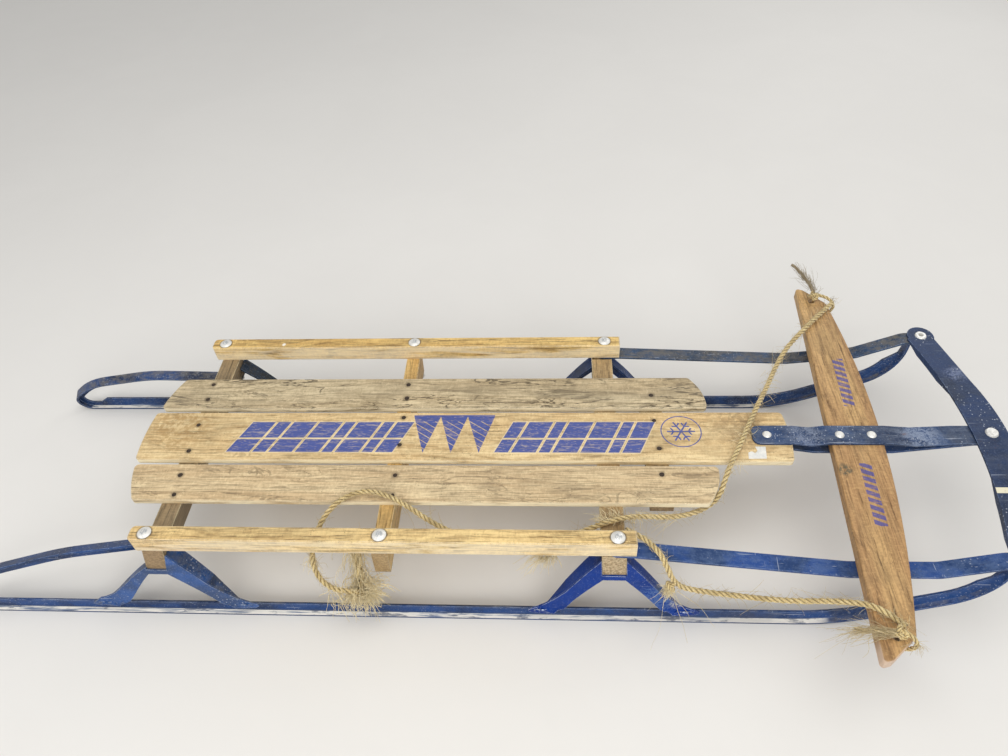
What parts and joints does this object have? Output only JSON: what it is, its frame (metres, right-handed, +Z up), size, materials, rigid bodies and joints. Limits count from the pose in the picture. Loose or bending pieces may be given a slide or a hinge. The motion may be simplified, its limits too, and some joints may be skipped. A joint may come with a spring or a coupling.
{
  "type": "runner sled",
  "caption": "Low slatted wooden sled on steel runners looped up behind, with side rails, a pivoted steering bar, curved bumper and tow rope.",
  "frame": {"origin": "on the floor under the middle of the sled's length and width", "axes": "+X towards the bumper, +Y to the sled's left, +Z up"},
  "size_m": [1.369, 0.5972, 0.161],
  "materials": {
    "slat_wood": "worn clear varnish",
    "rail_wood": "worn clear varnish",
    "bunk_wood": "worn",
    "bar_wood": "worn clear varnish",
    "blue_steel": "worn gloss",
    "rivet_steel": "dull zinc",
    "rope_fibre": "hairy sisal"
  },
  "bodies": {
    "sled": {"slat_middle": "slat_wood", "slat_left": "slat_wood", "slat_right": "slat_wood", "side_rail_left": "rail_wood", "side_rail_right": "rail_wood", "bunk_rear": "bunk_wood", "bunk_middle": "bunk_wood", "bunk_front": "bunk_wood", "front_batten": "bunk_wood", "runner_left": "blue_steel", "runner_right": "blue_steel", "knee_rear_left": "blue_steel", "knee_rear_right": "blue_steel", "knee_front_left": "blue_steel", "knee_front_right": "blue_steel", "bolt_rear_left": "rivet_steel", "bolt_rear_right": "rivet_steel", "bolt_middle_left": "rivet_steel", "bolt_middle_right": "rivet_steel", "bolt_front_left": "rivet_steel", "bolt_front_right": "rivet_steel", "rope_long": "rope_fibre", "rope_short": "rope_fibre"},
    "steering": {"steering_bar": "bar_wood", "centre_strap_upper": "blue_steel", "centre_strap_lower": "blue_steel", "deck_rivet": "rivet_steel", "bar_rivet_rear": "rivet_steel", "bar_rivet_front": "rivet_steel"},
    "bumper": {"bumper": "blue_steel", "bumper_rivet_centre": "rivet_steel", "bumper_rivet_left": "rivet_steel", "bumper_rivet_right": "rivet_steel"},
    "strap_left": {"side_strap_left": "blue_steel"},
    "strap_right": {"side_strap_right": "blue_steel"}
  },
  "joints": [
    {"name": "steering_pivot", "type": "hinge", "parent": "sled", "child": "steering", "pos_m": [0.385, 0, 0.138], "axis": [0, 0, 1], "range_deg": [-6, 6], "stiffness_Nm_per_rad": 40, "deforming": ["runner_left", "runner_right", "rope_long", "rope_short"]},
    {"name": "bumper_swing", "type": "slide", "parent": "sled", "child": "bumper", "axis": [0, 1, 0], "range_m": [-0.0295, 0.0295]},
    {"name": "strap_left_pivot", "type": "hinge", "parent": "sled", "child": "strap_left", "pos_m": [0.183, 0.165, 0.132], "axis": [0, 0, 1], "range_deg": [-3.8, 3.8]},
    {"name": "strap_right_pivot", "type": "hinge", "parent": "sled", "child": "strap_right", "pos_m": [0.183, -0.165, 0.132], "axis": [0, 0, 1], "range_deg": [-3.8, 3.8]}
  ],
  "couplings": [
    {"joint": "bumper_swing", "follows": "steering_pivot", "m_per_rad": 0.279},
    {"joint": "strap_left_pivot", "follows": "steering_pivot", "ratio": 0.6159},
    {"joint": "strap_right_pivot", "follows": "steering_pivot", "ratio": 0.6159}
  ]
}
